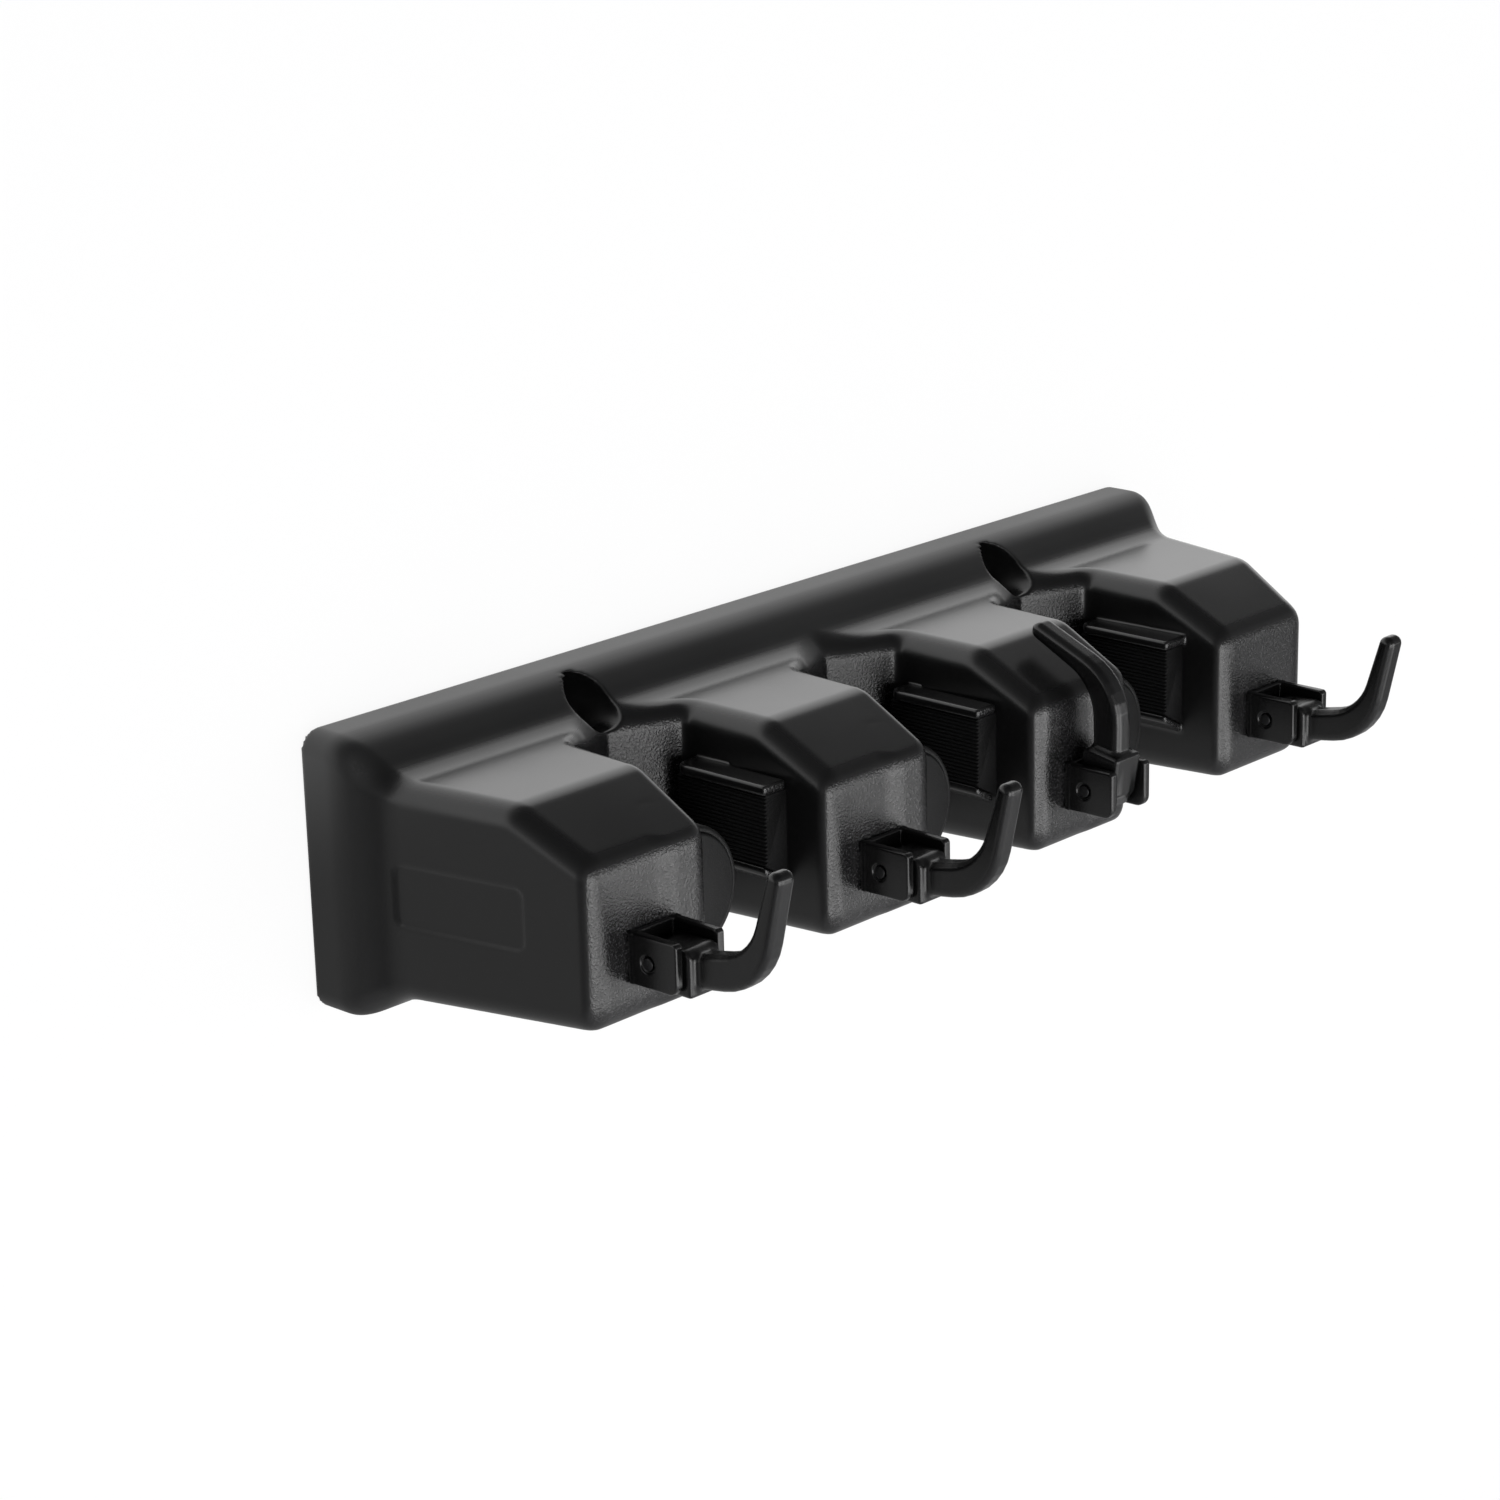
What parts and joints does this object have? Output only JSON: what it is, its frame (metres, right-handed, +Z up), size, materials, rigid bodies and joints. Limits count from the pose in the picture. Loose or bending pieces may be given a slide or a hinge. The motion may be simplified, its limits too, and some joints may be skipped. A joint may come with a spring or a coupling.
{
  "type": "wall mop holder rack",
  "caption": "Moulded wall rack whose slots grip a round mop or broom handle between a falling roller and a ridged rubber pad, with hooks on its towers that fold up.",
  "frame": {"origin": "midway between the two wall screw holes, on the wall plane", "axes": "+X along the rack to the right seen from the front, +Y into the wall, +Z up"},
  "size_m": [0.2782, 0.1076, 0.0622],
  "materials": {
    "housing": "fine grain",
    "plate": "satin",
    "hub": "satin",
    "sleeve": "matt",
    "pad": "matt",
    "bracket": "semi-gloss",
    "hook": "semi-gloss",
    "steel": "drawn",
    "zinc": "zinc plated"
  },
  "bodies": {
    "base": {"housing_1": "housing", "housing_2": "housing", "housing_3": "housing", "housing_4": "housing", "track_plate_1": "plate", "track_plate_2": "plate", "track_plate_3": "plate", "track_screws": "zinc", "grip_pad_1": "pad", "grip_pad_2": "pad", "grip_pad_3": "pad", "hook_bracket_1": "bracket", "hook_bracket_2": "bracket", "hook_bracket_3": "bracket", "hook_bracket_4": "bracket", "hook_pin_1": "steel", "hook_pin_2": "steel", "hook_pin_3": "steel", "hook_pin_4": "steel"},
    "roller_slide_1": {"roller_axle_1": "steel", "axle_clip_1": "zinc"},
    "roller_1": {"roller_hub_1": "hub", "roller_sleeve_1": "sleeve"},
    "roller_slide_2": {"roller_axle_2": "steel", "axle_clip_2": "zinc"},
    "roller_2": {"roller_hub_2": "hub", "roller_sleeve_2": "sleeve"},
    "roller_slide_3": {"roller_axle_3": "steel", "axle_clip_3": "zinc"},
    "roller_3": {"roller_hub_3": "hub", "roller_sleeve_3": "sleeve"},
    "folding_hook_1": {"hook_1": "hook"},
    "folding_hook_2": {"hook_2": "hook"},
    "folding_hook_3": {"hook_3": "hook"},
    "folding_hook_4": {"hook_4": "hook"}
  },
  "joints": [
    {"name": "roller_1_lift", "type": "slide", "parent": "base", "child": "roller_slide_1", "axis": [-0.866, 0, 0.5], "range_m": [0, 0.0163]},
    {"name": "roller_1_spin", "type": "hinge", "parent": "roller_slide_1", "child": "roller_1", "pos_m": [-0.0841, -0.04, -0.0313], "axis": [0, 1, 0], "continuous": true},
    {"name": "roller_2_lift", "type": "slide", "parent": "base", "child": "roller_slide_2", "axis": [-0.866, 0, 0.5], "range_m": [0, 0.0163]},
    {"name": "roller_2_spin", "type": "hinge", "parent": "roller_slide_2", "child": "roller_2", "pos_m": [-0.0126, -0.04, -0.0313], "axis": [0, 1, 0], "continuous": true},
    {"name": "roller_3_lift", "type": "slide", "parent": "base", "child": "roller_slide_3", "axis": [-0.866, 0, 0.5], "range_m": [0, 0.0163]},
    {"name": "roller_3_spin", "type": "hinge", "parent": "roller_slide_3", "child": "roller_3", "pos_m": [0.0589, -0.04, -0.0313], "axis": [0, 1, 0], "continuous": true},
    {"name": "hook_1_fold", "type": "hinge", "parent": "base", "child": "folding_hook_1", "pos_m": [-0.10725, -0.0751, -0.0341], "axis": [-1, 0, 0], "range_deg": [0, 80]},
    {"name": "hook_2_fold", "type": "hinge", "parent": "base", "child": "folding_hook_2", "pos_m": [-0.03575, -0.0751, -0.0341], "axis": [-1, 0, 0], "range_deg": [0, 80]},
    {"name": "hook_3_fold", "type": "hinge", "parent": "base", "child": "folding_hook_3", "pos_m": [0.03575, -0.0751, -0.0341], "axis": [-1, 0, 0], "range_deg": [-80, 0]},
    {"name": "hook_4_fold", "type": "hinge", "parent": "base", "child": "folding_hook_4", "pos_m": [0.10725, -0.0751, -0.0341], "axis": [-1, 0, 0], "range_deg": [0, 80]}
  ]
}
